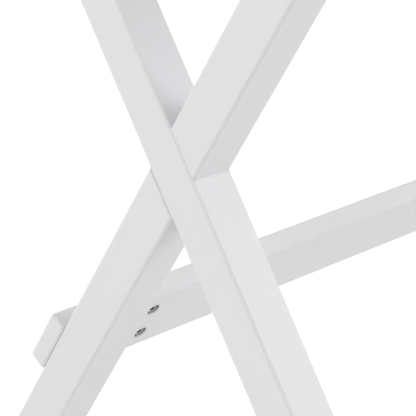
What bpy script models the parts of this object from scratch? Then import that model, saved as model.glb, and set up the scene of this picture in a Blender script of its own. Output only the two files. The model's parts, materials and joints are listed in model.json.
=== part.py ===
# Writing desk: two crossed end frames, one stretcher, and a shallow case with two drawers.
# Metres, +Z up. The origin is on the floor below the middle of the desktop.
# The front is at -Y. Left and right are those of the person who sits at the desk.

import math

import bmesh
import bpy
from mathutils import Matrix, Vector

# Clearances shared by every joint
GAP = 0.0003                 # between pieces that touch
OVERRUN = 0.004              # how far a cutter passes the face that it opens

# Whole desk
DESK_WIDTH = 1.200
DESK_DEPTH = 0.550
DESK_HEIGHT = 0.762
END_OVERHANG = 0.020         # desktop past the case at each end
EDGE_OVERHANG = 0.025        # desktop past the case, front and back
TOP_THICKNESS = 0.022
TOP_EDGE_RADIUS = 0.003

# Case that holds the drawers
CASE_HEIGHT = 0.0885
PANEL_THICKNESS = 0.018
FRONT_RAIL_HEIGHT = 0.016
FRONT_RAIL_DEPTH = 0.050
RUNNER_WIDTH = 0.022
PANEL_EDGE_RADIUS = 0.001

# End frames: two square legs each, crossed in a half lap
LEG_WIDTH = 0.040            # across the leg, in the plane of the frame
LEG_THICKNESS = 0.040        # along the desk
LEG_EDGE_RADIUS = 0.0024
BEARER_THICKNESS = 0.020
BEARER_SETBACK = 0.0127      # bearer's ends behind the case's front and back
BEARER_OVERLENGTH = 0.008    # bearer past the legs' heads

# Small block on the back of each rear lower leg
BLOCK_LENGTH = 0.058
BLOCK_THICKNESS = 0.0178
BLOCK_DROP = 0.220           # from the crossing down the leg to the block's upper end

# Stretcher between the two rear lower legs
STRETCHER_WIDTH = 0.070
STRETCHER_THICKNESS = 0.020
STRETCHER_DROP = 0.2032      # from the crossing down the leg to the board's middle
STRETCHER_EDGE_RADIUS = 0.0016

# Cam connectors at the stretcher's ends
CAM_DIAMETER = 0.012
CAM_RECESS = 0.0006          # cam below the board's face
CAM_SKIRT = 0.0042           # cam past the bolt's axis
CAM_SETBACK = 0.0240         # cam's centre to the end of the board
CAM_SPACING = 0.032
CAM_RIM = 0.0008             # flat ring along the edge of the face
CAM_DISH = 0.0010            # depth of the face inside that ring
CAM_COLLAR_DIAMETER = 0.007  # raised ring round the socket
CAM_COLLAR_HEIGHT = 0.0007
CAM_SOCKET = 0.004           # across the flats
CAM_SOCKET_DEPTH = 0.0042
BOLT_THREAD_DIAMETER = 0.006
BOLT_THREAD_LENGTH = 0.011
BOLT_SHAFT_DIAMETER = 0.007
BOLT_NECK_DIAMETER = 0.004
BOLT_HEAD_DIAMETER = 0.0062
BOLT_HEAD_LENGTH = 0.0035
BOLT_COLLAR_GAP = 0.0008     # shaft's end to the cam's wall

# Screws: a countersunk kind and a socket-head kind
SCREW_SHANK_DIAMETER = 0.004
SCREW_HEAD_DIAMETER = 0.008
SCREW_HEAD_LENGTH = 0.003
SCREW_SOCKET = 0.0025
SCREW_SOCKET_DEPTH = 0.0018
LAP_SCREW_COVER = 0.008      # wood left beyond its tip
HEAD_SCREW_REACH = 0.022     # thread inside the leg
FRAME_BOLT_SHANK_DIAMETER = 0.006
FRAME_BOLT_HEAD_DIAMETER = 0.010
FRAME_BOLT_HEAD_LENGTH = 0.004
FRAME_BOLT_RECESS = 0.001
FRAME_BOLT_REACH = 0.029     # thread inside the case side
FRAME_BOLT_SOCKET = 0.004
FRAME_BOLT_SOCKET_DEPTH = 0.0022
FRAME_BOLT_SPREAD = 0.240

# Glides under the feet
GLIDE_DIAMETER = 0.024
GLIDE_HEIGHT = 0.004
GLIDE_DOME = 0.0012
GLIDE_SPIGOT_DIAMETER = 0.005
GLIDE_SPIGOT_LENGTH = 0.012

# Drawers
DRAWER_REVEAL = 0.0016       # gap round a closed drawer front
DRAWER_SIDE_PLAY = 0.0020
DRAWER_BACK_SPACE = 0.024
DRAWER_FRONT_THICKNESS = 0.018
DRAWER_SIDE_THICKNESS = 0.012
DRAWER_TOP_SPACE = 0.018     # above the drawer sides
DRAWER_BOTTOM_THICKNESS = 0.005
DRAWER_BOTTOM_LIFT = 0.006   # groove above the lower edge of the side
GROOVE_DEPTH = 0.005

# Knobs
KNOB_DIAMETER = 0.030
KNOB_PROJECTION = 0.024
KNOB_FOOT_DIAMETER = 0.018
KNOB_FOOT_HEIGHT = 0.003
KNOB_NECK_DIAMETER = 0.011
KNOB_HEAD_HEIGHT = 0.011
KNOB_SCREW_REACH = 0.010     # thread inside the knob
KNOB_BORE_SPARE = 0.002      # bore beyond the screw
PAN_HEAD_HEIGHT = 0.0025
PAN_SOCKET_DEPTH = 0.0014

# How finely round pieces are divided
ROUND_SIDES = 28
SMALL_SIDES = 12
EDGE_SEGMENTS = 2            # of an eased edge
WIDE_EDGE_SEGMENTS = 3       # of the legs' and the desktop's eased edges

# Levels of the stacked pieces, from the floor up and from the desktop down
leg_foot = GLIDE_HEIGHT + GAP
case_top = DESK_HEIGHT - TOP_THICKNESS - GAP
case_bottom = case_top - CASE_HEIGHT
bearer_top = case_bottom - GAP
bearer_bottom = bearer_top - BEARER_THICKNESS
leg_head = bearer_bottom - GAP
crossing_height = (leg_foot + leg_head) / 2
half_rise = (leg_head - leg_foot) / 2

# Extents of the case
case_half_width = DESK_WIDTH / 2 - END_OVERHANG
case_half_depth = DESK_DEPTH / 2 - EDGE_OVERHANG
inner_half_width = case_half_width - PANEL_THICKNESS
inner_back = case_half_depth - PANEL_THICKNESS
rail_top = case_bottom + FRONT_RAIL_HEIGHT
rail_back = -case_half_depth + FRONT_RAIL_DEPTH

# The legs lean so far that their heads end just inside the bearer's ends
bearer_half = case_half_depth - BEARER_SETBACK
head_reach = bearer_half - BEARER_OVERLENGTH
head_bearing = math.atan2(half_rise, head_reach)
leg_lean = math.acos(LEG_WIDTH / 2 / math.hypot(head_reach, half_rise)) - head_bearing
foot_spread = half_rise * math.tan(leg_lean)

# Lengths of the screws
lap_screw_length = LEG_THICKNESS - LAP_SCREW_COVER
head_screw_length = BEARER_THICKNESS + GAP + HEAD_SCREW_REACH
frame_bolt_length = BEARER_THICKNESS - FRAME_BOLT_RECESS + GAP + FRAME_BOLT_REACH

# Stretcher ends and the cam's height within the board
leg_inner_face = case_half_width - LEG_THICKNESS
stretcher_end = leg_inner_face - GAP
cam_height = STRETCHER_THICKNESS / 2 + CAM_SKIRT - CAM_RECESS

# Paint and metal, as colour, roughness and metallic value
WHITE_PAINT = ((0.80, 0.80, 0.81), 0.38, 0.0)
DRAWER_BOX = ((0.70, 0.64, 0.55), 0.55, 0.0)
ZINC = ((0.55, 0.55, 0.56), 0.35, 1.0)
NICKEL = ((0.62, 0.60, 0.57), 0.28, 1.0)
NYLON = ((0.75, 0.75, 0.74), 0.50, 0.0)


def clear_scene():
    for old in list(bpy.data.objects):
        bpy.data.objects.remove(old, do_unlink=True)


def add_finish(piece, finish):
    colour, roughness, metallic = finish
    material = bpy.data.materials.new(piece.name + "_finish")
    material.use_nodes = True
    shader = material.node_tree.nodes["Principled BSDF"]
    shader.inputs["Base Color"].default_value = (*colour, 1.0)
    shader.inputs["Roughness"].default_value = roughness
    shader.inputs["Metallic"].default_value = metallic
    material.diffuse_color = (*colour, 1.0)
    piece.data.materials.append(material)


def to_object(name, mesh_data, finish=None):
    """Turn a bmesh into an object; without a finish it is a cutter."""
    bmesh.ops.recalc_face_normals(mesh_data, faces=mesh_data.faces)
    mesh = bpy.data.meshes.new(name)
    mesh_data.to_mesh(mesh)
    mesh_data.free()
    piece = bpy.data.objects.new(name, mesh)
    bpy.context.scene.collection.objects.link(piece)
    if finish is None:
        piece.hide_render = True
        piece.display_type = "WIRE"
    else:
        add_finish(piece, finish)
    return piece


def ease_edges(piece, radius, segments=EDGE_SEGMENTS):
    bevel = piece.modifiers.new("eased_edges", "BEVEL")
    bevel.width = radius
    bevel.segments = segments
    bevel.limit_method = "ANGLE"
    bevel.harden_normals = False


def cut(piece, cutter):
    boolean = piece.modifiers.new("cut_" + cutter.name, "BOOLEAN")
    boolean.operation = "DIFFERENCE"
    boolean.solver = "EXACT"
    boolean.object = cutter


def board(name, low, high, finish=None, radius=None, segments=EDGE_SEGMENTS):
    """A box between two corners, with its origin in its middle."""
    low, high = Vector(low), Vector(high)
    shape = bmesh.new()
    bmesh.ops.create_cube(shape, size=1)
    bmesh.ops.scale(shape, vec=high - low, verts=shape.verts)
    piece = to_object(name, shape, finish)
    piece.location = (low + high) / 2
    if radius:
        ease_edges(piece, radius, segments)
    return piece


def prism(name, outline, start, end, finish=None):
    """A (y, z) outline extruded along X from start to end."""
    shape = bmesh.new()
    corners = [shape.verts.new((start, y, z)) for y, z in outline]
    face = shape.faces.new(corners)
    extruded = bmesh.ops.extrude_face_region(shape, geom=[face])
    moved = [part for part in extruded["geom"] if isinstance(part, bmesh.types.BMVert)]
    bmesh.ops.translate(shape, verts=moved, vec=(end - start, 0, 0))
    return to_object(name, shape, finish)


def turned(name, profile, sides, finish=None):
    """A (radius, height) profile spun about Z; points at radius zero close the ends."""
    shape = bmesh.new()
    chain = [shape.verts.new((radius, 0, height)) for radius, height in profile]
    edges = [shape.edges.new(pair) for pair in zip(chain, chain[1:])]
    bmesh.ops.spin(
        shape, geom=chain + edges, cent=(0, 0, 0), axis=(0, 0, 1),
        angle=math.tau, steps=sides, use_merge=True,
    )
    bmesh.ops.remove_doubles(shape, verts=shape.verts, dist=GAP / 100)
    piece = to_object(name, shape, finish)
    piece.data.shade_smooth()
    piece.data.set_sharp_from_angle(angle=math.radians(35))
    return piece


def hexagon(name, across_flats, low, high):
    """A six-sided cutter about Z, for a socket."""
    shape = bmesh.new()
    corner = across_flats / 2 / math.cos(math.pi / 6)
    bmesh.ops.create_cone(
        shape, cap_ends=True, segments=6, radius1=corner, radius2=corner, depth=high - low
    )
    bmesh.ops.translate(shape, verts=shape.verts, vec=(0, 0, (low + high) / 2))
    return to_object(name, shape)


def grow(profile, amount):
    """The same profile with its round faces and its two ends moved out."""
    top = max(height for radius, height in profile)
    bottom = min(height for radius, height in profile)
    grown = []
    for radius, height in profile:
        wider = radius + amount if radius else 0
        if height == top:
            grown.append((wider, height + OVERRUN))
        elif height == bottom:
            grown.append((wider, height - amount))
        else:
            grown.append((wider, height - amount))
    return grown


def place(piece, matrix):
    piece.matrix_world = matrix
    return piece


def frame_matrix(side, lean):
    """Crossing on the frame's outer face, with Z up the leg and X towards the desk's middle."""
    turn = Matrix.Rotation(lean, 4, "X")
    return Matrix.Translation((side * case_half_width, 0, crossing_height)) @ turn


def span(side, near, far):
    """Two X values measured inwards from the outer face of one frame."""
    return (-side * near, -side * far)


def leg_outline(width, lean, reach):
    """Outline of a leaning leg, in its own frame, cut level at both ends."""
    half = width / 2
    slope = math.tan(lean)
    end = reach / math.cos(lean)
    return [
        (-half, -end + half * slope),
        (half, -end - half * slope),
        (half, end - half * slope),
        (-half, end + half * slope),
    ]


def countersunk(length):
    """Profile of a countersunk screw, with its head's face at zero and its tip below."""
    shank = SCREW_SHANK_DIAMETER / 2
    head = SCREW_HEAD_DIAMETER / 2
    tip = shank / 2
    return [
        (0, -length), (tip, -length), (shank, -length + shank),
        (shank, -SCREW_HEAD_LENGTH), (head, -SCREW_HEAD_LENGTH / 6), (head, 0), (0, 0),
    ]


def socket_head(length, shank_diameter, head_diameter, head_length):
    """Profile of a flat-headed screw, with the face of its head at zero."""
    shank = shank_diameter / 2
    head = head_diameter / 2
    return [
        (0, -length), (shank * 0.6, -length), (shank, -length + shank * 0.4),
        (shank, -head_length), (head, -head_length), (head, 0), (0, 0),
    ]


def screw(name, profile, socket, socket_depth, matrix, finish=ZINC):
    """A turned screw with a six-sided socket in its head."""
    piece = place(turned(name, profile, SMALL_SIDES, finish), matrix)
    driver = place(hexagon(name + "_socket", socket, -socket_depth, OVERRUN), matrix)
    cut(piece, driver)
    return piece


def screw_hole(name, profile, matrix):
    return place(turned(name, grow(profile, GAP), SMALL_SIDES), matrix)


def make_desktop():
    board(
        "desktop",
        (-DESK_WIDTH / 2, -DESK_DEPTH / 2, DESK_HEIGHT - TOP_THICKNESS),
        (DESK_WIDTH / 2, DESK_DEPTH / 2, DESK_HEIGHT),
        WHITE_PAINT, TOP_EDGE_RADIUS, WIDE_EDGE_SEGMENTS,
    )


def make_case():
    """Sides, back, front rail, divider and runners; returns the two sides."""
    sides = {}
    for word, side in (("left", -1), ("right", 1)):
        faces = sorted((side * case_half_width, side * inner_half_width))
        sides[side] = board(
            f"case_side_{word}",
            (faces[0], -case_half_depth, case_bottom),
            (faces[1], case_half_depth, case_top),
            WHITE_PAINT, PANEL_EDGE_RADIUS,
        )
    board(
        "case_back",
        (-inner_half_width + GAP, inner_back, case_bottom),
        (inner_half_width - GAP, case_half_depth, case_top),
        WHITE_PAINT, PANEL_EDGE_RADIUS,
    )
    board(
        "front_rail",
        (-inner_half_width + GAP, -case_half_depth, case_bottom),
        (inner_half_width - GAP, rail_back, rail_top),
        WHITE_PAINT, PANEL_EDGE_RADIUS,
    )
    # The divider is notched over the front rail.
    divider = prism(
        "case_divider",
        [
            (-case_half_depth, rail_top + GAP),
            (rail_back + GAP, rail_top + GAP),
            (rail_back + GAP, case_bottom),
            (inner_back - GAP, case_bottom),
            (inner_back - GAP, case_top),
            (-case_half_depth, case_top),
        ],
        -PANEL_THICKNESS / 2, PANEL_THICKNESS / 2, WHITE_PAINT,
    )
    ease_edges(divider, PANEL_EDGE_RADIUS)
    divider_face = PANEL_THICKNESS / 2
    for word, side in (("left", -1), ("right", 1)):
        walls = (("outer", inner_half_width, -1), ("inner", divider_face, 1))
        for place_word, wall, inward in walls:
            near = side * (wall + inward * GAP)
            far = side * (wall + inward * (GAP + RUNNER_WIDTH))
            board(
                f"runner_{word}_{place_word}",
                (min(near, far), rail_back + GAP, case_bottom),
                (max(near, far), inner_back - GAP, rail_top),
                DRAWER_BOX, PANEL_EDGE_RADIUS,
            )
    return sides


def make_frame(word, side, case_side):
    """One crossed frame with its bearer, screws, block and glides; returns the rear lower leg."""
    # The outer leg runs from the back of the case to the front foot and is whole outside.
    # The inner leg runs from the front of the case to the rear foot and is whole inside.
    outline = leg_outline(LEG_WIDTH, leg_lean, half_rise)
    mirrored = [(-y, z) for y, z in outline]
    start, end = span(side, 0, LEG_THICKNESS)
    inner_matrix = frame_matrix(side, leg_lean)
    outer_matrix = frame_matrix(side, -leg_lean)
    inner_leg = place(prism(f"{word}_leg_inner", outline, start, end, WHITE_PAINT), inner_matrix)
    outer_leg = place(prism(f"{word}_leg_outer", mirrored, start, end, WHITE_PAINT), outer_matrix)
    ease_edges(inner_leg, LEG_EDGE_RADIUS, WIDE_EDGE_SEGMENTS)
    ease_edges(outer_leg, LEG_EDGE_RADIUS, WIDE_EDGE_SEGMENTS)

    # Half lap: each leg loses half its thickness where the other one passes.
    half_lap = LEG_WIDTH / 2 + GAP
    reach = LEG_WIDTH * 3
    strip = [(-half_lap, -reach), (half_lap, -reach), (half_lap, reach), (-half_lap, reach)]
    lap = LEG_THICKNESS / 2
    outer_half = span(side, -OVERRUN, lap + GAP / 2)
    inner_half = span(side, lap - GAP / 2, LEG_THICKNESS + OVERRUN)
    cut(inner_leg, place(prism(f"{word}_lap_outside", strip, *outer_half), outer_matrix))
    cut(outer_leg, place(prism(f"{word}_lap_inside", strip, *inner_half), inner_matrix))

    # One screw holds the lap, driven from the inner face.
    axis_turn = Matrix.Rotation(-side * math.pi / 2, 4, "Y")
    crossing = Vector((side * leg_inner_face, 0, crossing_height))
    lap_matrix = Matrix.Translation(crossing) @ axis_turn
    profile = countersunk(lap_screw_length)
    screw(f"{word}_lap_screw", profile, SCREW_SOCKET, SCREW_SOCKET_DEPTH, lap_matrix)
    hole = screw_hole(f"{word}_lap_screw_hole", profile, lap_matrix)
    cut(inner_leg, hole)
    cut(outer_leg, hole)

    # The bearer caps the two legs and carries the case.
    faces = sorted((side * case_half_width, side * leg_inner_face))
    bearer = board(
        f"{word}_bearer",
        (faces[0], -bearer_half, bearer_bottom),
        (faces[1], bearer_half, bearer_top),
        WHITE_PAINT, LEG_EDGE_RADIUS, WIDE_EDGE_SEGMENTS,
    )
    leg_middle = side * (case_half_width - LEG_THICKNESS / 2)
    profile = countersunk(head_screw_length)
    for end_word, y, leg in (("front", -foot_spread, inner_leg), ("rear", foot_spread, outer_leg)):
        matrix = Matrix.Translation((leg_middle, y, bearer_top))
        name = f"{word}_head_screw_{end_word}"
        screw(name, profile, SCREW_SOCKET, SCREW_SOCKET_DEPTH, matrix)
        hole = screw_hole(name + "_hole", profile, matrix)
        cut(bearer, hole)
        cut(leg, hole)

    # Two bolts go up through the bearer into the lower edge of the case side.
    panel_middle = side * (case_half_width - PANEL_THICKNESS / 2)
    profile = socket_head(
        frame_bolt_length, FRAME_BOLT_SHANK_DIAMETER, FRAME_BOLT_HEAD_DIAMETER, FRAME_BOLT_HEAD_LENGTH
    )
    upside_down = Matrix.Rotation(math.pi, 4, "X")
    for end_word, y in (("front", -FRAME_BOLT_SPREAD / 2), ("rear", FRAME_BOLT_SPREAD / 2)):
        head_level = bearer_bottom + FRAME_BOLT_RECESS
        matrix = Matrix.Translation((panel_middle, y, head_level)) @ upside_down
        name = f"{word}_frame_bolt_{end_word}"
        screw(name, profile, FRAME_BOLT_SOCKET, FRAME_BOLT_SOCKET_DEPTH, matrix)
        hole = screw_hole(name + "_hole", profile, matrix)
        cut(bearer, hole)
        cut(case_side, hole)

    # The small block sits on the back of the rear lower leg, flush with its outer face.
    low = LEG_WIDTH / 2 + GAP
    block_outline = [
        (low, -BLOCK_DROP - BLOCK_LENGTH), (low + BLOCK_THICKNESS, -BLOCK_DROP - BLOCK_LENGTH),
        (low + BLOCK_THICKNESS, -BLOCK_DROP), (low, -BLOCK_DROP),
    ]
    block = place(prism(f"{word}_block", block_outline, start, end, WHITE_PAINT), inner_matrix)
    ease_edges(block, LEG_EDGE_RADIUS, WIDE_EDGE_SEGMENTS)

    make_glides(word, leg_middle, outer_leg, inner_leg)
    return inner_leg


def make_glides(word, middle, front_leg, rear_leg):
    """A domed glide with a spigot, pressed into each foot."""
    radius = GLIDE_DIAMETER / 2
    spigot = GLIDE_SPIGOT_DIAMETER / 2
    top = GLIDE_HEIGHT + GLIDE_SPIGOT_LENGTH
    profile = [
        (0, 0), (radius - GLIDE_DOME * 2, 0), (radius - GLIDE_DOME / 2, GLIDE_DOME / 2),
        (radius, GLIDE_DOME * 2), (radius, GLIDE_HEIGHT),
        (spigot, GLIDE_HEIGHT), (spigot, top), (0, top),
    ]
    bore = [
        (0, GLIDE_HEIGHT - OVERRUN), (spigot + GAP, GLIDE_HEIGHT - OVERRUN),
        (spigot + GAP, top + GAP), (0, top + GAP),
    ]
    for end_word, y, leg in (("front", -foot_spread, front_leg), ("rear", foot_spread, rear_leg)):
        matrix = Matrix.Translation((middle, y, 0))
        place(turned(f"{word}_glide_{end_word}", profile, ROUND_SIDES, NYLON), matrix)
        hole = turned(f"{word}_glide_{end_word}_hole", bore, SMALL_SIDES)
        cut(leg, place(hole, matrix))


def cam_bolt_profile():
    """Connector bolt with its thread below zero and its head in the cam."""
    thread = BOLT_THREAD_DIAMETER / 2
    shaft = BOLT_SHAFT_DIAMETER / 2
    neck = BOLT_NECK_DIAMETER / 2
    head = BOLT_HEAD_DIAMETER / 2
    shaft_end = CAM_SETBACK - CAM_DIAMETER / 2 - BOLT_COLLAR_GAP
    head_start = CAM_SETBACK - BOLT_HEAD_LENGTH / 2
    head_end = CAM_SETBACK + BOLT_HEAD_LENGTH / 2
    return [
        (0, -BOLT_THREAD_LENGTH), (thread * 0.6, -BOLT_THREAD_LENGTH),
        (thread, -BOLT_THREAD_LENGTH + thread * 0.4), (thread, -GAP * 2), (thread, GAP * 2),
        (shaft, GAP * 2), (shaft, shaft_end), (neck, shaft_end), (neck, head_start),
        (head, head_start + head / 4), (head, head_end - head / 4),
        (head / 2, head_end), (0, head_end),
    ]


def make_stretcher(left_leg, right_leg):
    """The board between the rear lower legs, with two cam connectors at each end."""
    middle = Matrix.Translation((0, 0, crossing_height)) @ Matrix.Rotation(leg_lean, 4, "X")
    half_thickness = STRETCHER_THICKNESS / 2
    half_width = STRETCHER_WIDTH / 2
    outline = [
        (-half_thickness, -STRETCHER_DROP - half_width), (half_thickness, -STRETCHER_DROP - half_width),
        (half_thickness, -STRETCHER_DROP + half_width), (-half_thickness, -STRETCHER_DROP + half_width),
    ]
    stretcher = place(
        prism("stretcher", outline, -stretcher_end, stretcher_end, WHITE_PAINT), middle
    )
    ease_edges(stretcher, STRETCHER_EDGE_RADIUS, WIDE_EDGE_SEGMENTS)

    cam_radius = CAM_DIAMETER / 2
    collar = CAM_COLLAR_DIAMETER / 2
    collar_face = CAM_COLLAR_HEIGHT - CAM_DISH
    bottom = -cam_height
    cam_profile = [
        (0, bottom), (cam_radius, bottom), (cam_radius, 0), (cam_radius - CAM_RIM, 0),
        (cam_radius - CAM_RIM - CAM_DISH / 2, -CAM_DISH), (collar, -CAM_DISH),
        (collar - CAM_COLLAR_HEIGHT / 2, collar_face), (0, collar_face),
    ]
    hole_profile = [
        (0, bottom - GAP), (cam_radius + GAP, bottom - GAP),
        (cam_radius + GAP, CAM_RECESS + OVERRUN), (0, CAM_RECESS + OVERRUN),
    ]
    bolt_profile = cam_bolt_profile()
    thread_radius = BOLT_THREAD_DIAMETER / 2 + GAP
    shaft_radius = BOLT_SHAFT_DIAMETER / 2 + GAP
    leg_bore = [
        (0, -BOLT_THREAD_LENGTH - GAP), (thread_radius, -BOLT_THREAD_LENGTH - GAP),
        (thread_radius, OVERRUN), (0, OVERRUN),
    ]
    board_bore = [(0, -OVERRUN), (shaft_radius, -OVERRUN), (shaft_radius, CAM_SETBACK), (0, CAM_SETBACK)]

    # The cam's face looks out of the board's front, and the bolt lies along the desk.
    face_out = Matrix.Rotation(math.pi / 2, 4, "X")
    for word, side, leg in (("left", -1, left_leg), ("right", 1, right_leg)):
        for level_word, level in (("upper", 1), ("lower", -1)):
            height = -STRETCHER_DROP + level * CAM_SPACING / 2
            name = f"{word}_cam_{level_word}"
            centre = (side * (stretcher_end - CAM_SETBACK), -half_thickness + CAM_RECESS, height)
            cam_matrix = middle @ Matrix.Translation(centre) @ face_out
            cam = place(turned(name, cam_profile, ROUND_SIDES, ZINC), cam_matrix)
            hole = place(turned(name + "_hole", hole_profile, ROUND_SIDES), cam_matrix)
            cut(stretcher, hole)
            socket = hexagon(name + "_socket", CAM_SOCKET, -CAM_SOCKET_DEPTH, OVERRUN)
            cut(cam, place(socket, cam_matrix))

            inward = Matrix.Rotation(-side * math.pi / 2, 4, "Y")
            bolt_matrix = middle @ Matrix.Translation((side * stretcher_end, 0, height)) @ inward
            bolt_name = f"{word}_cam_bolt_{level_word}"
            place(turned(bolt_name, bolt_profile, SMALL_SIDES, ZINC), bolt_matrix)
            cut(leg, place(turned(bolt_name + "_leg_bore", leg_bore, SMALL_SIDES), bolt_matrix))
            cut(stretcher, place(turned(bolt_name + "_bore", board_bore, SMALL_SIDES), bolt_matrix))

            # The cam opens towards the leg for the bolt's neck and head.
            pocket = cam_pocket(name + "_pocket")
            cut(cam, place(pocket, bolt_matrix))


def cam_pocket(name):
    """Keyhole space in the cam: a neck slot from its wall and a wider room for the head."""
    neck = BOLT_NECK_DIAMETER / 2 + GAP * 2
    head = BOLT_HEAD_DIAMETER / 2 + GAP * 2
    room_start = CAM_SETBACK - BOLT_HEAD_LENGTH / 2 - GAP * 2
    room_end = CAM_SETBACK + BOLT_HEAD_LENGTH / 2 + GAP * 2
    wall = CAM_SETBACK - CAM_DIAMETER / 2 - OVERRUN
    profile = [
        (0, wall), (neck, wall), (neck, room_start), (head, room_start),
        (head, room_end), (0, room_end),
    ]
    return turned(name, profile, SMALL_SIDES)


def make_drawer(word, side):
    """Front, sides, back, bottom, knob and its screw, for one closed drawer."""
    divider_face = PANEL_THICKNESS / 2
    opening = inner_half_width - divider_face
    centre = side * (inner_half_width + divider_face) / 2
    front_half = opening / 2 - DRAWER_REVEAL
    box_half = opening / 2 - DRAWER_SIDE_PLAY
    side_bottom = rail_top + GAP
    side_top = case_top - DRAWER_TOP_SPACE
    front_face = -case_half_depth
    front_back = front_face + DRAWER_FRONT_THICKNESS
    box_start = front_back + GAP
    box_end = inner_back - DRAWER_BACK_SPACE
    bottom_low = side_bottom + DRAWER_BOTTOM_LIFT
    bottom_high = bottom_low + DRAWER_BOTTOM_THICKNESS
    name = f"drawer_{word}"
    parts = []

    front = board(
        f"{name}_front",
        (centre - front_half, front_face, rail_top + DRAWER_REVEAL),
        (centre + front_half, front_back, case_top - DRAWER_REVEAL),
        WHITE_PAINT, PANEL_EDGE_RADIUS,
    )
    parts.append(front)
    sides = []
    for hand_word, hand in (("left", -1), ("right", 1)):
        faces = sorted((hand * box_half, hand * (box_half - DRAWER_SIDE_THICKNESS)))
        sides.append(board(
            f"{name}_side_{hand_word}",
            (centre + faces[0], box_start, side_bottom),
            (centre + faces[1], box_end, side_top),
            DRAWER_BOX, PANEL_EDGE_RADIUS,
        ))
    parts += sides
    inner_half = box_half - DRAWER_SIDE_THICKNESS
    parts.append(board(
        f"{name}_back",
        (centre - inner_half + GAP, box_end - DRAWER_SIDE_THICKNESS, bottom_high + GAP),
        (centre + inner_half - GAP, box_end, side_top),
        DRAWER_BOX, PANEL_EDGE_RADIUS,
    ))
    # The bottom slides in grooves in the sides and the front, and passes under the back.
    groove_half = inner_half + GROOVE_DEPTH
    parts.append(board(
        f"{name}_bottom",
        (centre - groove_half + GAP, front_back - GROOVE_DEPTH + GAP, bottom_low),
        (centre + groove_half - GAP, box_end, bottom_high),
        DRAWER_BOX,
    ))
    groove = board(
        f"{name}_groove",
        (centre - groove_half, front_back - GROOVE_DEPTH, bottom_low - GAP),
        (centre + groove_half, box_end + OVERRUN, bottom_high + GAP),
    )
    cut(front, groove)
    for drawer_side in sides:
        cut(drawer_side, groove)

    middle = (rail_top + case_top) / 2
    parts += make_knob(name, front, centre, front_face, middle)

    # Everything in the drawer hangs on one empty, which slides along Y.
    slide = bpy.data.objects.new(f"{name}_slide", None)
    bpy.context.scene.collection.objects.link(slide)
    slide.location = (centre, front_face, middle)
    for part in parts + [groove]:
        part.parent = slide
        part.matrix_parent_inverse = Matrix.Translation(-slide.location)


def make_knob(name, front, x, face, height):
    """A turned knob, held by a pan-head screw from inside the drawer."""
    radius = KNOB_DIAMETER / 2
    foot = KNOB_FOOT_DIAMETER / 2
    neck = KNOB_NECK_DIAMETER / 2
    rim_low = KNOB_PROJECTION - KNOB_HEAD_HEIGHT
    bore = SCREW_SHANK_DIAMETER / 2 + GAP
    bore_depth = KNOB_SCREW_REACH + KNOB_BORE_SPARE
    crown = [
        (radius * math.cos(step * math.pi / 12), step * math.pi / 12) for step in range(1, 6)
    ]
    profile = [
        (bore, 0), (foot, 0), (foot, KNOB_FOOT_HEIGHT * 0.6), (foot * 0.85, KNOB_FOOT_HEIGHT),
        (neck, KNOB_FOOT_HEIGHT * 2), (neck, rim_low - KNOB_FOOT_HEIGHT / 2),
        (radius * 0.8, rim_low), (radius, rim_low + KNOB_HEAD_HEIGHT * 0.35),
    ]
    shoulder = rim_low + KNOB_HEAD_HEIGHT * 0.5
    rise = KNOB_PROJECTION - shoulder
    profile += [(ring, shoulder + rise * math.sin(angle)) for ring, angle in crown]
    profile += [(0, KNOB_PROJECTION), (0, bore_depth), (bore, bore_depth), (bore, 0)]
    outwards = Matrix.Rotation(math.pi / 2, 4, "X")
    seat = Matrix.Translation((x, face - GAP, height)) @ outwards
    knob = place(turned(f"{name}_knob", profile, ROUND_SIDES, NICKEL), seat)

    # The screw's head bears on the back of the drawer front.
    back = face + DRAWER_FRONT_THICKNESS + GAP
    shank = SCREW_SHANK_DIAMETER / 2
    head = SCREW_HEAD_DIAMETER / 2
    length = DRAWER_FRONT_THICKNESS + GAP * 2 + KNOB_SCREW_REACH
    screw_profile = [
        (0, -length), (shank, -length), (shank, 0), (head, 0),
        (head, PAN_HEAD_HEIGHT / 2), (head * 0.8, PAN_HEAD_HEIGHT), (0, PAN_HEAD_HEIGHT),
    ]
    matrix = Matrix.Translation((x, back, height)) @ Matrix.Rotation(-math.pi / 2, 4, "X")
    piece = place(turned(f"{name}_knob_screw", screw_profile, SMALL_SIDES, ZINC), matrix)
    socket = place(hexagon(
        f"{name}_knob_screw_socket", SCREW_SOCKET, PAN_HEAD_HEIGHT - PAN_SOCKET_DEPTH,
        PAN_HEAD_HEIGHT + OVERRUN,
    ), matrix)
    cut(piece, socket)
    hole_profile = [
        (0, -length), (bore, -length), (bore, OVERRUN), (0, OVERRUN),
    ]
    hole = place(turned(f"{name}_knob_hole", hole_profile, SMALL_SIDES), matrix)
    cut(front, hole)
    return [knob, piece, socket, hole]


def main():
    clear_scene()
    make_desktop()
    case_sides = make_case()
    left_leg = make_frame("left", -1, case_sides[-1])
    right_leg = make_frame("right", 1, case_sides[1])
    make_stretcher(left_leg, right_leg)
    make_drawer("left", -1)
    make_drawer("right", 1)
    bpy.context.view_layer.update()


main()
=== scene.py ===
import json
import math

import bmesh
import bpy
from mathutils import Matrix, Vector


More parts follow.
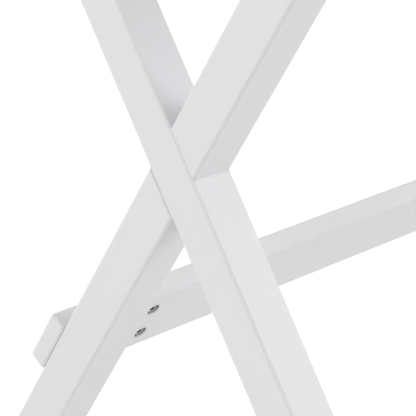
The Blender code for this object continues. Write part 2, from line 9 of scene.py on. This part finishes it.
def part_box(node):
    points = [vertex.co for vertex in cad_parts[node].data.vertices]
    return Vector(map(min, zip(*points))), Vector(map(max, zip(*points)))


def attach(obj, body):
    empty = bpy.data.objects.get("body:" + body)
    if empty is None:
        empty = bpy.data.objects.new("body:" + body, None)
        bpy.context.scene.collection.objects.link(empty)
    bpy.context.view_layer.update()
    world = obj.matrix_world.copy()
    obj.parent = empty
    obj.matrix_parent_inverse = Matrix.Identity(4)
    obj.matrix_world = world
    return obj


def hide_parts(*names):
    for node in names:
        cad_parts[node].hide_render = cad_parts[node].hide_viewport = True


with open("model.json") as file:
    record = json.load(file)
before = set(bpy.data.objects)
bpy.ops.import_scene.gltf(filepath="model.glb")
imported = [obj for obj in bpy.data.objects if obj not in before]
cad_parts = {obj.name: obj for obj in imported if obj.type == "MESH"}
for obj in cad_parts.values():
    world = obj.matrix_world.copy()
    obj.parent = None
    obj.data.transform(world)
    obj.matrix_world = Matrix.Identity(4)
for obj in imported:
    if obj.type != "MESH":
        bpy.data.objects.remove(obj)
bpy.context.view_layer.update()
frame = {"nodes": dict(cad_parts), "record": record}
nodes = frame["nodes"]
bodies = frame["record"]["behaviour"]["bodies"]
print("frame loaded:", len(nodes), "nodes")

# the photograph's view of the left end, solved from the edges of the crossed legs
camera = dict(
    focalPixels=1721.5, framePixels=416, sensor=36.0, farthest=50.0,
    heading=45.96, down=20.41, roll=-0.48,       # degrees, heading measured from the desk's length
    fromCrossing=(-0.8386, -0.9075, 0.4320),     # metres from the legs' crossing on its outer face
)


def makeCamera(v):
    low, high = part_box("left_leg_outer")
    crossing = Vector((low.x, (low.y + high.y) / 2, (low.z + high.z) / 2))
    data = bpy.data.cameras.new("camera")
    data.sensor_width = v["sensor"]
    data.lens = v["focalPixels"] / v["framePixels"] * v["sensor"]
    data.clip_end = v["farthest"]
    eye = bpy.data.objects.new("camera", data)
    bpy.context.scene.collection.objects.link(eye)
    turn = Matrix.Rotation(math.radians(v["heading"] - 90), 4, "Z")
    tilt = Matrix.Rotation(math.radians(90 - v["down"]), 4, "X")
    roll = Matrix.Rotation(math.radians(v["roll"]), 4, "Z")
    eye.matrix_world = Matrix.Translation(crossing + Vector(v["fromCrossing"])) @ turn @ tilt @ roll
    bpy.context.scene.camera = eye


makeCamera(camera)
print("camera set")


class Signal:
    # a socket that can be used in sums; each sum adds a Math node
    def __init__(self, sheet, socket):
        self.sheet = sheet
        self.socket = socket

    def sum(self, operation, first, second):
        return self.sheet.add("Math", {"operation": operation}, {0: first, 1: second})

    def __add__(self, other):
        return self.sum("ADD", self, other)

    def __radd__(self, other):
        return self.sum("ADD", other, self)

    def __sub__(self, other):
        return self.sum("SUBTRACT", self, other)

    def __rsub__(self, other):
        return self.sum("SUBTRACT", other, self)

    def __mul__(self, other):
        return self.sum("MULTIPLY", self, other)

    def __rmul__(self, other):
        return self.sum("MULTIPLY", other, self)

    def __pow__(self, other):
        return self.sum("POWER", self, other)


class Sheet:
    # the nodes of one material or world; add() makes any node and returns one of its outputs
    def __init__(self, name, kind="materials"):
        self.owner = getattr(bpy.data, kind).new(name)
        self.owner.use_nodes = True
        self.tree = self.owner.node_tree
        self.tree.nodes.clear()

    def add(self, kind, settings=None, values=None, out=0):
        node = self.tree.nodes.new("ShaderNode" + kind)
        for key, value in (settings or {}).items():
            if key == "stops":
                self.setStops(node.color_ramp, value)
            else:
                setattr(node, key, value)
        for key, value in (values or {}).items():
            if isinstance(value, Signal):
                self.tree.links.new(value.socket, node.inputs[key])
            else:
                node.inputs[key].default_value = value
        if node.outputs:
            return Signal(self, node.outputs[out])

    def setStops(self, ramp, stops):
        while len(ramp.elements) < len(stops):
            ramp.elements.new(0.5)
        for element, (place, colour) in zip(ramp.elements, stops):
            element.position = place
            element.color = (*colour, 1)

    def blend(self, factor, first, second):
        # a mix of two colours, each a colour or a signal
        pair = [c if isinstance(c, Signal) else (*c, 1) for c in (first, second)]
        return self.add("Mix", {"data_type": "RGBA"}, {0: factor, 6: pair[0], 7: pair[1]}, out=2)

    def place(self, scale=(1, 1, 1), turn=(0, 0, 0)):
        # rest coordinates of the piece, turned and then scaled
        coords = self.add("TexCoord", out="Object")
        turned = self.add("Mapping", None, {"Vector": coords, "Rotation": turn})
        return self.add("Mapping", None, {"Vector": turned, "Scale": scale})

    def axes(self):
        # the piece's own x, y and z
        coords = self.add("TexCoord", out="Object")
        return [self.add("SeparateXYZ", None, {"Vector": coords}, out=axis) for axis in "XYZ"]

    def noise(self, where, scale, detail, roughness=0.5):
        values = {"Vector": where, "Scale": scale, "Detail": detail, "Roughness": roughness}
        return self.add("TexNoise", None, values)

    def bump(self, height, normal=None):
        # height in metres
        values = {"Height": height, "Distance": 1.0, "Strength": 1.0}
        if normal:
            values["Normal"] = normal
        return self.add("Bump", None, values)

    def finish(self, values):
        shader = self.add("BsdfPrincipled", None, values)
        self.add("OutputMaterial", None, {"Surface": shader})
        return self.owner


# satin white paint over wood, with the wood's grain just showing through and painted shade darkening its
# arrises
paint = dict(
    colour=(0.800, 0.800, 0.812), shade=(0.785, 0.786, 0.800), cloudScale=7.0, cloudDetail=3.0,
    thinCoatAndShade=(0.712, 0.714, 0.732), arrisReach=0.0032, arrisSwing=0.25, arrisSamples=8,    # thinner coat and painted shade on the arrises
    roughness=0.55, roughnessSwing=0.10, specular=0.30, ior=1.45,
    grainAcross=260.0, grainAlong=9.0, grainDetail=4.0, grainRoughness=0.6, grainHeight=0.00004,
    peelScale=900.0, peelDetail=1.0, peelHeight=0.00003,
    edgeSoftness=0.0012, edgeSamples=6,
)


def makePaint(name, v, turn=(0, 0, 0)):
    s = Sheet(name)
    cloud = s.noise(s.place(), v["cloudScale"], v["cloudDetail"])
    along = s.place((v["grainAcross"], v["grainAcross"], v["grainAlong"]), turn)
    grain = s.noise(along, 1.0, v["grainDetail"], v["grainRoughness"])
    peel = s.noise(s.place(), v["peelScale"], v["peelDetail"])
    soft = s.add("Bevel", {"samples": v["edgeSamples"]}, {"Radius": v["edgeSoftness"]})
    # painted shade: the arrises are darkened in the colour, partly for the thinner coat and partly for the
    # shade that falls on them
    inward = {"inside": True, "only_local": True, "samples": v["arrisSamples"]}
    arris = 1 - s.add("AmbientOcclusion", inward, {"Distance": v["arrisReach"]}, out="AO")
    thinCoatAndShade = arris * (1 + (cloud - 0.5) * v["arrisSwing"])
    return s.finish({
        "Base Color": s.blend(thinCoatAndShade, s.blend(cloud, v["colour"], v["shade"]), v["thinCoatAndShade"]),
        "Roughness": v["roughness"] + (cloud - 0.5) * v["roughnessSwing"],
        "IOR": v["ior"],
        "Specular IOR Level": v["specular"],
        "Normal": s.bump(grain * v["grainHeight"] + peel * v["peelHeight"], soft),
    })


# pale sealed wood of the drawer boxes and runners
wood = dict(
    light=(0.80, 0.725, 0.60), lightAt=0.33, dark=(0.61, 0.50, 0.365), darkAt=0.68,
    streakAcross=95.0, streakAlong=1.3, streakDetail=5.0, streakRoughness=0.62, streakShare=0.62,
    ringAcross=24.0, ringAlong=1.5, ringShare=0.16,
    ringWaver=9.0, waverDetail=3.0, waverScale=0.45, waverRoughness=0.65,
    fibreAcross=900.0, fibreAlong=14.0, fibreDetail=2.0, fibreShare=0.22,
    roughness=0.48, roughnessSwing=0.2, fibreHeight=0.00006, streakHeight=0.00002,
)


def makeWood(name, v, turn):
    s = Sheet(name)
    streakPlace = s.place((v["streakAcross"], v["streakAcross"], v["streakAlong"]), turn)
    streaks = s.noise(streakPlace, 1.0, v["streakDetail"], v["streakRoughness"])
    rings = s.add("TexWave", {"wave_type": "RINGS", "rings_direction": "Z"}, {
        "Vector": s.place((v["ringAcross"], v["ringAcross"], v["ringAlong"]), turn), "Scale": 1.0,
        "Distortion": v["ringWaver"], "Detail": v["waverDetail"],
        "Detail Scale": v["waverScale"], "Detail Roughness": v["waverRoughness"],
    }, out=1)
    fibrePlace = s.place((v["fibreAcross"], v["fibreAcross"], v["fibreAlong"]), turn)
    fibre = s.noise(fibrePlace, 1.0, v["fibreDetail"])
    figure = streaks * v["streakShare"] + rings * v["ringShare"] + fibre * v["fibreShare"]
    stops = [(v["lightAt"], v["light"]), (v["darkAt"], v["dark"])]
    return s.finish({
        "Base Color": s.add("ValToRGB", {"stops": stops}, {"Fac": figure}),
        "Roughness": v["roughness"] + (fibre - 0.5) * v["roughnessSwing"],
        "Normal": s.bump(fibre * v["fibreHeight"] + streaks * v["streakHeight"]),
    })


# metals: zinc fittings and satin nickel knobs
metal = dict(fineDetail=3.0, fineHeight=0.00002, broadTimes=12, broadDetail=2.0, roughnessSwing=0.15)
zinc = dict(metal, colour=(0.44, 0.44, 0.45), dull=(0.34, 0.34, 0.36), roughness=0.34, scale=700.0)
nickel = dict(metal, colour=(0.52, 0.50, 0.47), dull=(0.45, 0.43, 0.41), roughness=0.26, scale=400.0)


def makeMetal(name, v):
    s = Sheet(name)
    fine = s.noise(s.place(), v["scale"], v["fineDetail"])
    broad = s.noise(s.place(), v["scale"] / v["broadTimes"], v["broadDetail"])
    return s.finish({
        "Base Color": s.blend(broad, v["colour"], v["dull"]),
        "Metallic": 1.0,
        "Roughness": v["roughness"] + (broad - 0.5) * v["roughnessSwing"],
        "Normal": s.bump(fine * v["fineHeight"]),
    })


# moulded nylon of the glides
nylon = dict(
    colour=(0.74, 0.74, 0.73), shade=(0.66, 0.66, 0.65), roughness=0.5, roughnessSwing=0.3,
    scuffScale=260.0, scuffDetail=4.0, scuffRoughness=0.7, scuffHeight=0.00003,
)


def makeNylon(name, v):
    s = Sheet(name)
    scuff = s.noise(s.place(), v["scuffScale"], v["scuffDetail"], v["scuffRoughness"])
    return s.finish({
        "Base Color": s.blend(scuff, v["colour"], v["shade"]),
        "Roughness": v["roughness"] + (scuff - 0.5) * v["roughnessSwing"],
        "Normal": s.bump(scuff * v["scuffHeight"]),
    })


def middleOf(name):
    low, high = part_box(name)
    return (low + high) / 2


# the legs' lean from upright, from the two cams that stand in line with one leg
camStep = middleOf("left_cam_lower") - middleOf("left_cam_upper")
lean = math.atan2(camStep.y, -camStep.z)
alongX = (0, math.pi / 2, 0)
alongY = (math.pi / 2, 0, 0)
paints = dict(
    inner=makePaint("white_paint_inner_legs", paint, (-lean, 0, 0)),
    outer=makePaint("white_paint_outer_legs", paint, (lean, 0, 0)),
    wide=makePaint("white_paint_along_desk", paint, alongX),
    deep=makePaint("white_paint_across_desk", paint, alongY),
)
woods = dict(
    wide=makeWood("drawer_wood_along_desk", wood, alongX),
    deep=makeWood("drawer_wood_across_desk", wood, alongY),
)
zincFinish = makeMetal("zinc", zinc)
nickelFinish = makeMetal("satin_nickel", nickel)
nylonFinish = makeNylon("nylon", nylon)
print("finishes made")


def finishFor(name):
    if name.endswith("knob"):
        return nickelFinish
    if "screw" in name or "bolt" in name or "_cam_" in name:
        return zincFinish
    if "glide" in name:
        return nylonFinish
    if name.startswith("runner") or "_side_" in name and name.startswith("drawer"):
        return woods["deep"]
    if name.endswith("_back") and name.startswith("drawer"):
        return woods["wide"]
    if name.endswith("leg_inner") or name.endswith("block"):
        return paints["inner"]
    if name.endswith("leg_outer"):
        return paints["outer"]
    if name.endswith("bearer") or name.startswith("case_side") or name == "case_divider":
        return paints["deep"]
    return paints["wide"]


for name, node in nodes.items():
    node.data.materials.clear()
    node.data.materials.append(finishFor(name))
print("frame pieces finished")

# how finely the small pieces are turned
turning = dict(sides=64, cornerSteps=4, sharpAngle=32)


def makePiece(name, shape, finish):
    mesh = bpy.data.meshes.new(name)
    bmesh.ops.recalc_face_normals(shape, faces=shape.faces)
    shape.to_mesh(mesh)
    shape.free()
    mesh.shade_smooth()
    mesh.set_sharp_from_angle(angle=math.radians(turning["sharpAngle"]))
    mesh.materials.append(finish)
    piece = bpy.data.objects.new(name, mesh)
    bpy.context.scene.collection.objects.link(piece)
    return piece


def standFor(piece, node):
    # shows the piece in place of a node of the frame, on the node's body
    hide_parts(node)
    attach(piece, next(body for body, members in bodies.items() if node in members))


def roundCorners(outline):
    # (radius, height, rounding) corners, each eased by a short curve of that reach
    points = []
    for i, (radius, height, rounding) in enumerate(outline):
        corner = Vector((radius, height))
        if not rounding or i in (0, len(outline) - 1):
            points.append(corner)
            continue
        start = corner + (Vector(outline[i - 1][:2]) - corner).normalized() * rounding
        end = corner + (Vector(outline[i + 1][:2]) - corner).normalized() * rounding
        for step in range(turning["cornerSteps"] + 1):
            t = step / turning["cornerSteps"]
            points.append(start * (1 - t) ** 2 + corner * 2 * t * (1 - t) + end * t ** 2)
    return points


def spun(outline):
    # the outline turned about z, ring by ring; an end on the axis is a single point
    shape = bmesh.new()
    angles = [math.tau * step / turning["sides"] for step in range(turning["sides"])]
    rings = []
    for radius, height in roundCorners(outline):
        if radius:
            ring = [shape.verts.new((radius * math.cos(a), radius * math.sin(a), height)) for a in angles]
        else:
            ring = [shape.verts.new((0, 0, height))] * len(angles)
        rings.append(ring)
    for low, high in zip(rings, rings[1:]):
        for i in range(len(angles)):
            corners = dict.fromkeys((low[i - 1], low[i], high[i], high[i - 1]))    # three at the axis
            shape.faces.new(list(corners))
    return shape


def carve(piece, shape):
    # cuts a shape out of a piece and keeps the result as its mesh
    cutter = makePiece(piece.name + "_cutter", shape, piece.data.materials[0])
    modifier = piece.modifiers.new("carve", "BOOLEAN")
    modifier.object = cutter
    modifier.solver = "EXACT"
    view = bpy.context.evaluated_depsgraph_get()
    carved = bpy.data.meshes.new_from_object(piece.evaluated_get(view))
    piece.modifiers.clear()
    piece.data = carved
    bpy.data.objects.remove(cutter)


def hexPrism(acrossFlats, low, high):
    shape = bmesh.new()
    corner = acrossFlats / 2 / math.cos(math.pi / 6)
    bmesh.ops.create_cone(shape, cap_ends=True, segments=6, radius1=corner, radius2=corner, depth=high - low)
    bmesh.ops.translate(shape, verts=shape.verts, vec=(0, 0, (low + high) / 2))
    return shape


# satin knobs, turned with a soft foot, a waist and a cushioned head
knob = dict(
    footRadius=0.0090, footHeight=0.0026, footRound=0.0004, footEdgeRound=0.0009,
    waistRadius=0.0052, waistHeight=0.0085, waistRound=0.0045,
    headHeight=0.0105, flare=0.0016, flareRound=0.0015, shoulder=0.0016, shoulderRound=0.0034,
    crown=0.0015, crownRadius=0.0105, rimRound=0.0030, crownRound=0.0040,
)


def makeKnob(v, side):
    node = f"drawer_{side}_knob"
    low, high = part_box(node)
    middle = middleOf(node)
    radius = (high.x - low.x) / 2
    length = high.y - low.y
    head = length - v["headHeight"]
    outline = [
        (0, 0, 0),
        (v["footRadius"], 0, v["footRound"]),
        (v["footRadius"], v["footHeight"], v["footEdgeRound"]),
        (v["waistRadius"], v["waistHeight"], v["waistRound"]),
        (v["waistRadius"] + v["flare"], head, v["flareRound"]),
        (radius, head + v["shoulder"], v["shoulderRound"]),
        (radius, length - v["crown"], v["rimRound"]),
        (v["crownRadius"], length, v["crownRound"]),
        (0, length, 0),
    ]
    piece = makePiece(f"turned_knob_{side}", spun(outline), nickelFinish)
    foot = Matrix.Translation((middle.x, high.y, middle.z))
    piece.matrix_world = foot @ Matrix.Rotation(math.pi / 2, 4, "X")
    standFor(piece, node)


for side in ("left", "right"):
    makeKnob(knob, side)
print("knobs turned")

# cam connectors: a thin outer rim, a dished face, and a raised collar round the hex socket
cam = dict(
    rim=0.0003, dish=0.0018, slope=0.0003, collarRadius=0.0040, collarHeight=0.00065,
    edge=0.0002, socket=0.0054, socketDepth=0.0042, overrun=0.002,
)

# its cast zinc, bright on the collar, with painted shade that darkens the dish and makes the socket nearly
# black
castZinc = dict(
    face=(0.66, 0.66, 0.67), faceUntil=0.03,              # shares of the dish's depth
    recessShade=(0.32, 0.314, 0.305), recessShadeFrom=0.14,
    socketShade=(0.012, 0.012, 0.013), socketFrom=0.665, socketShare=0.85,    # of the collar's radius
    collar=(0.88, 0.88, 0.89),
    roughness=0.36, roughnessSwing=0.2,
    grain=900.0, grainDetail=3.0, grainSwing=0.05, grainHeight=0.00003,
)


def makeCastZinc(name, v, turned):
    s = Sheet(name)
    x, y, z = s.axes()
    fine = s.noise(s.place(), v["grain"], v["grainDetail"])
    # painted shade: the colour darkens with depth into the dish and turns nearly black deep in the socket
    depth = z * (-1 / turned["dish"]) + (fine - 0.5) * v["grainSwing"]
    fromAxis = (x * x + y * y) ** 0.5
    collarReach = turned["collarRadius"] - turned["slope"]
    socketReach = turned["collarRadius"] * v["socketShare"]
    onCollar = s.add("Math", {"operation": "LESS_THAN"}, {0: fromAxis, 1: collarReach})
    narrow = s.add("Math", {"operation": "LESS_THAN"}, {0: fromAxis, 1: socketReach})
    below = s.add("Math", {"operation": "GREATER_THAN"}, {0: depth, 1: v["socketFrom"]})
    stops = [(v["faceUntil"], v["face"]), (v["recessShadeFrom"], v["recessShade"])]
    dishShaded = s.add("ValToRGB", {"stops": stops}, {"Fac": depth})
    outside = s.blend(onCollar, dishShaded, v["collar"])
    return s.finish({
        "Base Color": s.blend(narrow * below, outside, v["socketShade"]),
        "Metallic": 1.0,
        "Roughness": v["roughness"] + (fine - 0.5) * v["roughnessSwing"],
        "Normal": s.bump(fine * v["grainHeight"]),
    })


castZincFinish = makeCastZinc("cast_zinc", castZinc, cam)


def makeCam(v, side, level):
    node = f"{side}_cam_{level}"
    low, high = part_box(node)
    radius = (high.x - low.x) / 2
    depth = (high.y - low.y - 2 * radius * math.sin(lean)) / math.cos(lean)    # the cam leans in its box
    inside = radius - v["rim"]
    collar = v["collarRadius"]
    collarFace = v["collarHeight"] - v["dish"]
    edge = v["edge"]
    outline = [
        (0, -depth, 0),
        (radius, -depth, edge),
        (radius, 0, edge),
        (inside, 0, edge),
        (inside - v["slope"], -v["dish"], edge),
        (collar, -v["dish"], edge),
        (collar - v["slope"], collarFace, edge),
        (0, collarFace, 0),
    ]
    piece = makePiece(f"cam_{side}_{level}", spun(outline), castZincFinish)
    carve(piece, hexPrism(v["socket"], -v["socketDepth"], v["overrun"]))
    outward = Matrix.Rotation(lean + math.pi / 2, 4, "X")
    piece.matrix_world = Matrix.Translation(middleOf(node)) @ outward @ Matrix.Translation((0, 0, depth / 2))
    standFor(piece, node)


for side in ("left", "right"):
    for level in ("upper", "lower"):
        makeCam(cam, side, level)
print("cam connectors made")

# paint that bridges the half laps: a bead along each seam and a fillet in each corner between the legs
seam = dict(
    beadReach=0.0007, beadDepth=0.0008, wallReach=0.0004, wallDepth=0.0007, rootDepth=0.0030,
    fillet=0.0009, hollowShare=0.30, rootShare=0.1, faceInset=0.0020,
)
# the seams' beads and fillets take almost none of the painted arris shade
seamPaint = dict(paint, thinCoatAndShade=(0.790, 0.790, 0.802), edgeSoftness=0.0001)
seamFinish = makePaint("white_paint_seams", seamPaint)


def addPrism(shape, section, along):
    first = [shape.verts.new(point) for point in section]
    last = [shape.verts.new(point + along) for point in section]
    shape.faces.new(first)
    shape.faces.new(last)
    for i in range(len(section)):
        shape.faces.new((first[i - 1], first[i], last[i], last[i - 1]))


def cornerOf(one, other, half):
    # from the legs' crossing to the corner between two of their sides, which face one and other
    return (one + other) * half / (1 + one.dot(other))


def alongSide(one, other):
    # the way out from that corner along the side that faces one
    return (other - one * one.dot(other)).normalized()


def makeSeams(v, side):
    low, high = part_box(f"{side}_leg_outer")
    crossing = (low + high) / 2
    half = (high.x - low.x) / 2
    outward = Vector((-1 if side == "left" else 1, 0, 0))
    # the ways that the two legs' rear sides face
    outer, inner = [Vector((0, math.cos(lean), way * math.sin(lean))) for way in (-1, 1)]
    shape = bmesh.new()

    # beads, along both sides of the leg that is whole on a face
    for face, whole, cut in ((outward, outer, inner), (-outward, inner, outer)):
        for out in (whole, -whole):
            start, end = [crossing + face * half + cornerOf(out, way, half) for way in (cut, -cut)]
            section = [
                start - out * v["beadReach"] - face * v["beadDepth"],
                start + out * v["wallReach"] - face * v["wallDepth"],
                start + out * v["wallReach"] - face * v["rootDepth"],
                start - out * v["beadReach"] - face * v["rootDepth"],
            ]
            addPrism(shape, section, end - start)

    # fillets, in the four corners
    reach = Vector((half - v["faceInset"], 0, 0))
    for one in (outer, -outer):
        for other in (inner, -inner):
            corner = crossing - reach + cornerOf(one, other, half)
            first = alongSide(one, other) * v["fillet"]
            second = alongSide(other, one) * v["fillet"]
            section = [
                corner - (first + second) * v["rootShare"],
                corner + first,
                corner + (first + second) * v["hollowShare"],
                corner + second,
            ]
            addPrism(shape, section, reach * 2)

    piece = makePiece(f"seam_paint_{side}", shape, seamFinish)
    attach(piece, "desk")


for side in ("left", "right"):
    makeSeams(seam, side)
print("lap seams painted")

# studio: a white floor and soft lamps on a dome round the left end
studio = dict(
    floorSize=14.0, floorColour=(0.86, 0.86, 0.86),
    whiteShare=0.40, white=1.44,                  # near the desk, where its shadow lies
    farWhite=1.02, fadeStart=0.9, fadeEnd=2.8,    # and how the floor turns into the background
    worldStrength=0.417,
    aim=(-0.5, 0.0, 0.33), lampDistance=5.0,
    lamps=[
        # name, heading and height in degrees, size in metres, watts
        ("leftFront", 198, 12, 2.6, 49.0),
        ("leftRear", 150, 40, 3.8, 58.0),
        ("rightFront", -43, 25, 4.2, 136.0),
        ("rightRear", 8, 20, 3.6, 24.0),
        ("rear", 100, 20, 3.6, 64.0),
    ],
)


def seenDirectly(s):
    # 1 for what the camera sees, straight or in a mirror of metal or glass
    straight, mirrored, through = [
        s.add("LightPath", out=ray) for ray in ("Is Camera Ray", "Is Glossy Ray", "Is Transmission Ray")
    ]
    direct = s.add("Math", {"operation": "MAXIMUM"}, {0: straight, 1: mirrored})
    return s.add("Math", {"operation": "MAXIMUM"}, {0: direct, 1: through})


def glow(s, strength):
    return s.add("Emission", None, {"Color": (1, 1, 1, 1), "Strength": strength})


def makeFloor(v):
    s = Sheet("studio_floor")
    base = s.add("BsdfDiffuse", None, {"Color": (*v["floorColour"], 1)})
    direct = seenDirectly(s)
    x, y, z = s.axes()
    reach = {"Value": (x * x + y * y) ** 0.5, "From Min": v["fadeStart"], "From Max": v["fadeEnd"]}
    fade = s.add("MapRange", {"interpolation_type": "SMOOTHSTEP"}, reach)
    nearby = s.add("MixShader", None, {0: direct * v["whiteShare"], 1: base, 2: glow(s, v["white"])})
    mixed = s.add("MixShader", None, {0: direct * fade, 1: nearby, 2: glow(s, v["farWhite"])})
    s.add("OutputMaterial", None, {"Surface": mixed})
    half = v["floorSize"] / 2
    corners = [(-half, -half, 0), (half, -half, 0), (half, half, 0), (-half, half, 0)]
    mesh = bpy.data.meshes.new("floor")
    mesh.from_pydata(corners, [], [(0, 1, 2, 3)])
    mesh.materials.append(s.owner)
    floor = bpy.data.objects.new("floor", mesh)
    bpy.context.scene.collection.objects.link(floor)


def makeWorld(v):
    s = Sheet("studio_world", "worlds")
    level = v["worldStrength"] + seenDirectly(s) * (1 - v["worldStrength"])
    sky = s.add("Background", None, {"Color": (1, 1, 1, 1), "Strength": level})
    s.add("OutputWorld", None, {"Surface": sky})
    bpy.context.scene.world = s.owner


def makeLamps(v):
    for name, heading, height, size, watts in v["lamps"]:
        data = bpy.data.lights.new(name, "AREA")
        data.shape = "DISK"
        data.size = size
        data.energy = watts
        lamp = bpy.data.objects.new(name, data)
        turn = Matrix.Rotation(math.radians(heading + 90), 4, "Z")
        tilt = Matrix.Rotation(math.radians(90 - height), 4, "X")
        back = Matrix.Translation((0, 0, v["lampDistance"]))
        lamp.matrix_world = Matrix.Translation(v["aim"]) @ turn @ tilt @ back
        bpy.context.scene.collection.objects.link(lamp)


makeFloor(studio)
makeWorld(studio)
makeLamps(studio)
bpy.context.scene.view_settings.view_transform = "Standard"
print("studio lit")
